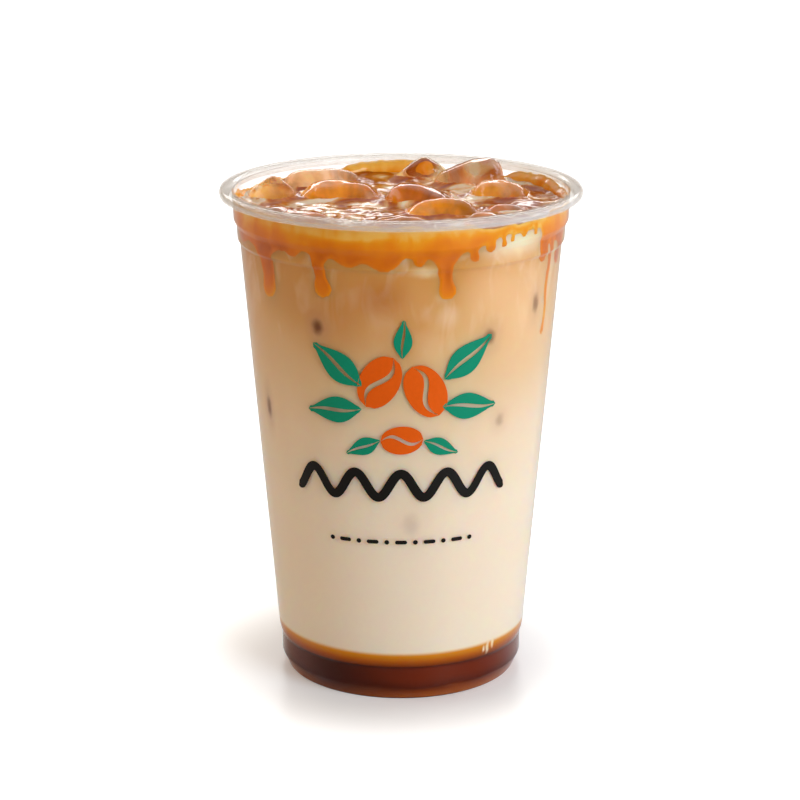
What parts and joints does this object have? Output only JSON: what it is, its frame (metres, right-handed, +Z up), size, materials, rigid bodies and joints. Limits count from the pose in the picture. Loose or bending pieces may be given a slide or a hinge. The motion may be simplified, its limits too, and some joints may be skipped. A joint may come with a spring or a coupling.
{
  "type": "iced caramel macchiato",
  "caption": "Iced milk and coffee drink in a clear plastic cup, with caramel running down the inside of the wall and ice standing out of the top.",
  "frame": {"origin": "on the cup's axis, at the flat ring of the foot that it stands on", "axes": "+Z up along the cup's axis, -Y towards the side that is seen as the front, +X to its right"},
  "size_m": [0.098, 0.098, 0.1373],
  "materials": {
    "clear_plastic": "clear thermoformed, glossy",
    "syrup": "dark syrup",
    "blend": "syrup mixing into milk",
    "milk": "milk with a little coffee",
    "coffee": "coffee with milk, wet surface",
    "caramel": "glossy caramel",
    "ice": "melted smooth, wet"
  },
  "bodies": {
    "root": {"cup": "clear_plastic", "caramel_syrup": "syrup", "caramel_blend": "blend", "milk": "milk", "coffee": "coffee", "caramel_ring": "caramel", "ice_01": "ice", "ice_02": "ice", "ice_03": "ice", "ice_04": "ice", "ice_05": "ice", "ice_06": "ice", "ice_07": "ice", "ice_08": "ice", "ice_09": "ice", "ice_10": "ice", "ice_11": "ice", "ice_12": "ice", "ice_13": "ice"}
  },
  "joints": []
}
